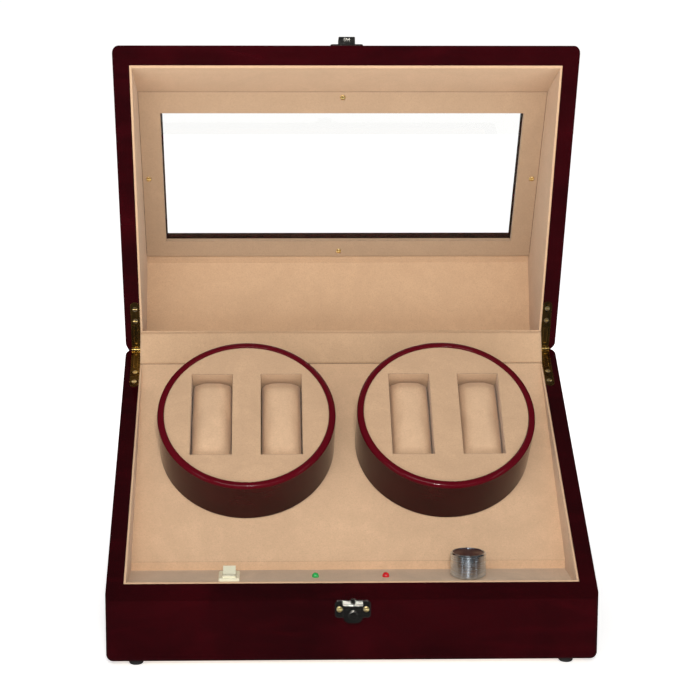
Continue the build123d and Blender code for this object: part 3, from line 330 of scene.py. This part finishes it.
black = plastic("black_plastic", (0.020, 0.020, 0.021), 0.5)
white = plastic("white_plastic", (0.66, 0.66, 0.62), 0.4)
circuit = plastic("solder_mask", (0.02, 0.14, 0.05), 0.35, 300, 0.00008, 0.4)
cable = plastic("cable_sleeve", (0.030, 0.030, 0.032), 0.55, 700, 0.00005)
fibre_board = board("fibre_board", (0.40, 0.27, 0.15))
green = lamp("green_lamp", (0.03, 0.42, 0.10))
red = lamp("red_lamp", (0.62, 0.010, 0.018))
clear = glass()

finishes = [
    (burgundy, ("base_front_wall", "base_back_wall", "base_left_wall", "base_right_wall", "lid_front_wall",
                "window_frame", "lid_top_board", "lid_back_wall", "lid_left_wall", "lid_right_wall")),
    (drum_burgundy, ("drum_ring_left", "drum_ring_right")),
    (beige_suede, ("deck_suede", "base_linings", "hinge_flap")),
    (panel_suede, ("window_panel",)),
    (lid_suede, ("lid_linings",)),
    (shelf_suede, ("shelf_suede",)),
    (face_suede, ("drum_face_left", "drum_face_right")),
    (pillow_suede, ("pillow_left_outer", "pillow_left_inner", "pillow_right_inner", "pillow_right_outer")),
    (fibre_board, ("bottom_panel", "shelf_board", "deck_board", "drum_floor_left", "drum_floor_right")),
    (brass, ("hinge_base_leaves", "hinge_lid_leaves")),
    (bright_brass, ("hinge_pins", "base_fitting_screws", "lid_screws")),
    (nickel, ("latch_housing", "latch_button", "hasp")),
    (spring_wire, ("latch_spring",)),
    (steel, ("bottom_screws", "selector_spindle", "selector_nut", "gear_motor_left", "gear_motor_right",
             "motor_screws", "output_shaft_left", "output_shaft_right")),
    (knob_metal, ("selector_knob",)),
    (rubber, ("feet",)),
    (cream, ("switch_housing", "switch_rocker")),
    (black, ("selector_body", "power_inlet")),
    (white, ("drum_hub_left", "drum_hub_right", "board_standoffs")),
    (circuit, ("control_board",)),
    (cable, ("wiring",)),
    (green, ("led_green",)),
    (red, ("led_red",)),
    (clear, ("window_glass",)),
]
for material, names in finishes:
    for name in names:
        mesh = cad[name].data
        mesh.materials.clear()
        mesh.materials.append(material)


def soften(name, width, segments=3):
    """A small rounding on a CAD node's sharp edges, as fabric folds over a board's edge."""
    bevel = cad[name].modifiers.new("soft_edges", "BEVEL")
    bevel.width = width
    bevel.segments = segments
    bevel.limit_method = "ANGLE"
    bevel.angle_limit = math.radians(50)
    bevel.use_clamp_overlap = True
    bevel.harden_normals = False


for name, width in (("window_panel", 0.0011), ("drum_face_left", 0.0009), ("drum_face_right", 0.0009),
                    ("deck_suede", 0.0004), ("base_linings", 0.0004), ("lid_linings", 0.0004)):
    soften(name, width)


# ---------------------------------------------------------------- watch cushions
side_swell = 0.0012  # how far the soft flanks fill the gap each side of a cushion's block


def deck_spans(node):
    """How far a CAD node reaches across, up the deck's slope and out of the deck."""
    points = [v.co for v in cad[node].data.vertices]
    spans = []
    for axis in (across, deck_up, deck_normal):
        values = [p.dot(axis) for p in points]
        spans.append((min(values), max(values)))
    return spans


def cushion_mesh(node):
    """A closed crowned pad filling the slot's width, laid along the deck's directions, and its middle."""
    (x0, x1), (u0, u1), (n0, n1) = deck_spans(node)
    shrink = 0.0004
    width = (x1 - x0) / 2 + side_swell
    length = (u1 - u0) / 2 - shrink
    depth = (n1 - n0) / 2 - shrink
    middle = across * (x0 + x1) / 2 + deck_up * (u0 + u1) / 2 + deck_normal * (n0 + n1) / 2
    built = bmesh.new()
    bmesh.ops.create_cube(built, size=2.0)
    bmesh.ops.subdivide_edges(built, edges=built.edges[:], cuts=9, use_grid_fill=True)
    turn = Matrix((across, deck_up, deck_normal)).transposed()
    for vertex in built.verts:
        x, u, n = vertex.co
        end = abs(u) ** 7
        crown = 1 - 0.30 * end if n > 0 else 1.0
        shoulder = 0.17 * max(0.0, n) ** 3
        sag = 0.22 * abs(x) ** 4 * max(0.0, n)
        taper = 1 - 0.05 * abs(n) ** 8
        local = Vector((x * width * (1 - shoulder), u * length * taper, n * depth * (crown - sag)))
        vertex.co = middle + turn @ local
    mesh = bpy.data.meshes.new(node + "_cushion")
    built.to_mesh(mesh)
    built.free()
    return mesh, middle


def apply_modifiers(piece):
    """Bakes a piece's modifiers into its mesh."""
    bpy.context.view_layer.update()
    graph = bpy.context.evaluated_depsgraph_get()
    done = bpy.data.meshes.new_from_object(piece.evaluated_get(graph))
    piece.modifiers.clear()
    piece.data = done


voxel = 0.0024
largest_puff = 0.004
held_share = 0.3  # of a cushion's depth, from its underside
cloth_steps = 20
dents = ((90, 0.00035), (34, 0.00045))  # how fine and how deep
settling = 0.0003


def puff(piece, limits):
    """Inflates a remeshed pad with cloth, keeping each point near its start and within the slot."""
    remesh = piece.modifiers.new("even_mesh", "REMESH")
    remesh.mode = "VOXEL"
    remesh.voxel_size = voxel
    apply_modifiers(piece)
    before = [v.co.copy() for v in piece.data.vertices]
    pinned = piece.vertex_groups.new(name="held")
    _, _, (n0, n1) = limits
    for vertex in piece.data.vertices:
        height = (vertex.co.dot(deck_normal) - n0) / (n1 - n0)
        pinned.add([vertex.index], 1.0 if height < held_share else 0.0, "REPLACE")
    cloth = piece.modifiers.new("stuffing", "CLOTH")
    cloth.settings.quality = 6
    cloth.settings.mass = 0.15
    cloth.settings.tension_stiffness = 18
    cloth.settings.compression_stiffness = 18
    cloth.settings.bending_stiffness = 0.4
    cloth.settings.use_pressure = True
    cloth.settings.uniform_pressure_force = 4
    cloth.settings.vertex_group_mass = "held"
    cloth.settings.effector_weights.gravity = 0
    cloth.collision_settings.use_collision = False
    cloth.collision_settings.use_self_collision = False
    scene = bpy.context.scene
    for step in range(1, cloth_steps + 1):
        scene.frame_set(step)
    apply_modifiers(piece)
    scene.frame_set(1)
    for vertex, start in zip(piece.data.vertices, before):
        move = vertex.co - start
        if move.length > largest_puff:
            move *= largest_puff / move.length
        point = start + move
        for axis, (low, high) in zip((across, deck_up, deck_normal), limits):
            value = point.dot(axis)
            point += axis * (min(max(value, low), high) - value)
        vertex.co = point


def cushion(node):
    """One watch cushion: a puffed suede pad with a softly dented crown."""
    mesh, middle = cushion_mesh(node)
    piece = bpy.data.objects.new(node + "_pad", mesh)
    bpy.context.scene.collection.objects.link(piece)
    limits = deck_spans(node)
    limits[0] = (limits[0][0] - side_swell, limits[0][1] + side_swell)
    puff(piece, limits)
    for vertex in piece.data.vertices:
        dent = sum(noise.noise(vertex.co * size) * depth for size, depth in dents)
        if (vertex.co - middle).dot(deck_normal) > 0:
            vertex.co -= deck_normal * (dent + settling)
    for polygon in piece.data.polygons:
        polygon.use_smooth = True
    rounder = piece.modifiers.new("rounder", "SUBSURF")
    rounder.levels = 1
    rounder.render_levels = 1
    piece.data.materials.clear()
    piece.data.materials.append(pillow_suede)
    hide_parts(node)
    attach(piece, node + "_cushion")


for name in sorted(cad):
    if name.startswith("pillow_"):
        cushion(name)


# ---------------------------------------------------------------- flap over the hinge line
cloth_thickness = 0.0007
cloth_gap = 0.00005  # behind the strip
cloth_slack = 0.0005
bend_reach = 0.002  # over which the strip turns from the deck's end to the rim


def grid_rim(grid):
    """The points round the edge of a grid, in order."""
    right = [line[-1] for line in grid[1:]]
    left = [line[0] for line in grid[-2:0:-1]]
    return grid[0] + right + grid[-1][-2::-1] + left


def flap():
    """The strip of suede across the open hinge line, a little slack."""
    low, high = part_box("hinge_flap")
    points = [v.co for v in cad["hinge_flap"].data.vertices]
    foot = min(points, key=lambda p: (round(p.z, 6), -p.y))
    bend = max((p for p in points if abs(p.y - foot.y) < 1e-5), key=lambda p: p.z)
    head = max(points, key=lambda p: (round(p.z + p.y, 6)))
    foot, bend, head = (Vector((0, p.y, p.z)) for p in (foot, bend, head))
    standing = (bend - foot).length
    length = standing + (head - bend).length
    rise = (head - bend).normalized()
    lean = Vector((0, -rise.z, rise.y))

    def on_strip(t):
        """The back of the strip at a share of its length, and the way it faces."""
        along = t * length
        if along < standing:
            return foot.lerp(bend, along / standing), Vector((0, -1, 0))
        share = min(1.0, (along - standing) / bend_reach)
        return bend + rise * (along - standing), Vector((0, -1, 0)).lerp(lean, share).normalized()

    columns, rows = 120, 14
    built = bmesh.new()
    skins = []
    for skin in (0, 1):
        grid = []
        for row in range(rows + 1):
            t = row / rows
            line = []
            for column in range(columns + 1):
                s = column / columns
                x = low.x + (high.x - low.x) * s
                ripple = 1 + 0.5 * math.sin(9 * s + 1.0) + 0.3 * math.sin(23 * s)
                slack = cloth_slack * math.sin(math.pi * t) * ripple
                back_of, facing = on_strip(t)
                place = back_of + facing * (slack + cloth_gap + skin * cloth_thickness)
                line.append(built.verts.new((x, place.y, place.z)))
            grid.append(line)
        skins.append(grid)
    for skin, grid in enumerate(skins):
        for row in range(rows):
            for column in range(columns):
                quad = grid[row][column:column + 2] + grid[row + 1][column:column + 2][::-1]
                built.faces.new(quad if skin else quad[::-1])
    back, front = skins
    rim_back = grid_rim(back)
    rim_front = grid_rim(front)
    for index in range(len(rim_back)):
        after = (index + 1) % len(rim_back)
        built.faces.new((rim_back[index], rim_back[after], rim_front[after], rim_front[index]))
    bmesh.ops.recalc_face_normals(built, faces=built.faces[:])
    mesh = bpy.data.meshes.new("hinge_flap_cloth")
    built.to_mesh(mesh)
    built.free()
    for polygon in mesh.polygons:
        polygon.use_smooth = True
    piece = bpy.data.objects.new("hinge_flap_cloth", mesh)
    bpy.context.scene.collection.objects.link(piece)
    mesh.materials.append(lid_suede)
    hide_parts("hinge_flap")
    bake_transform(piece)


flap()


# ---------------------------------------------------------------- latch spring
def spring_coil():
    """The spring behind the button, a copy of its CAD mesh carried by the base."""
    piece = bpy.data.objects.new("latch_spring_coil", cad["latch_spring"].data.copy())
    bpy.context.scene.collection.objects.link(piece)
    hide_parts("latch_spring")
    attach(piece, "base")
    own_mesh(piece)


spring_coil()


# ---------------------------------------------------------------- floor, light and camera
def floor_material():
    """A pale matt sweep that glows by its own emission, more strongly away from the box: painted light
    standing in for a lit studio sweep.
    """
    g = Graph("pale_floor")
    tone = g.mix(g.span(g.noise(3, 3), 0.3, 0.7), shade((0.92,) * 3), shade((0.94,) * 3))
    reach = g.add("ShaderNodeVectorMath", operation="LENGTH")
    g.join(g.place, reach.inputs[0])
    # painted light: the floor's emission grows with distance from the box
    g.join(g.span(reach.outputs["Value"], 0.20, 0.8, 0.60, 1.0), g.shader.inputs["Emission Strength"])
    g.set(Specular_IOR_Level=0.1, Emission_Color=(1.0, 1.0, 1.0, 1.0))
    return g.finish(tone, 0.9)


bpy.ops.mesh.primitive_plane_add(size=60.0, location=(0, 0, -0.0002))
floor = bpy.context.object
floor.name = "floor"
floor.data.materials.append(floor_material())
floor.visible_glossy = False

world = bpy.data.worlds.new("studio")
bpy.context.scene.world = world
world.use_nodes = True
tree = world.node_tree
background = next(n for n in tree.nodes if n.type == "BACKGROUND")
background.inputs["Color"].default_value = (1.0, 0.99, 0.98, 1.0)
ray = tree.nodes.new("ShaderNodeLightPath")


def sky_term(operation, a, b, c=0.0):
    """One step of the sky's strength."""
    node = tree.nodes.new("ShaderNodeMath")
    node.operation = operation
    for value, socket in zip((a, b, c), node.inputs):
        if isinstance(value, bpy.types.NodeSocket):
            tree.links.new(value, socket)
        else:
            socket.default_value = value
    return node.outputs[0]


sky_seen = 1.04
sky_reflected = 0.05
sky_lighting = 0.16
reflected = sky_term("SUBTRACT", ray.outputs["Is Glossy Ray"], ray.outputs["Is Transmission Ray"])
reflected = sky_term("MAXIMUM", reflected, 0.0)
strength = sky_term("MULTIPLY_ADD", reflected, sky_reflected - sky_seen, sky_seen)
strength = sky_term("MULTIPLY_ADD", ray.outputs["Is Diffuse Ray"], sky_lighting - sky_seen, strength)
tree.links.new(strength, background.inputs["Strength"])


def softbox(name, place, aim, size, power, colour=(1, 1, 1), seen_in_gloss=True):
    """A rectangular studio light aimed at a point."""
    data = bpy.data.lights.new(name, "AREA")
    data.shape = "RECTANGLE"
    data.size, data.size_y = size
    data.energy = power
    data.color = colour
    light = bpy.data.objects.new(name, data)
    light.location = place
    light.rotation_mode = "QUATERNION"
    light.rotation_quaternion = (Vector(aim) - Vector(place)).to_track_quat("-Z", "Y")
    light.visible_glossy = seen_in_gloss
    bpy.context.scene.collection.objects.link(light)


middle = (0, 0, 0.2)
softbox("key", (-0.25, -1.5, 0.85), middle, (0.8, 0.5), 6.6, (1.0, 0.98, 0.95))
softbox("flash", (-0.02, -1.35, 0.60), middle, (0.10, 0.07), 8.0, (1.0, 0.98, 0.95))
softbox("top", (0.0, -0.2, 1.5), (0, 0.05, 0.2), (1.2, 0.8), 1.6, (1.0, 0.98, 0.96), False)
softbox("right_strip", (1.0, -1.0, 0.45), middle, (0.12, 0.9), 1.0)
softbox("left_strip", (-0.9, -1.1, 0.45), middle, (0.20, 0.9), 1.4)
softbox("front_line", (0.0, -1.5, 0.44), middle, (1.5, 0.09), 2.4)
softbox("rear", (0.0, 1.6, 1.2), middle, (1.6, 0.8), 5, (1, 1, 1), False)

camera_data = bpy.data.cameras.new("camera")
camera = bpy.data.objects.new("camera", camera_data)
bpy.context.scene.collection.objects.link(camera)
camera.location = (-0.05708, case_front - 1.09536, case_under + 0.3738)
camera.rotation_euler = (math.radians(90 - 8.416), 0.0, math.radians(-1.141))
camera_data.sensor_width = 36.0
camera_data.lens = 84.92
camera_data.shift_x = 0.0694
camera_data.shift_y = 0.0120
camera_data.clip_start = 0.01
camera_data.clip_end = 100
bpy.context.scene.camera = camera
bpy.context.scene.view_settings.view_transform = "Standard"
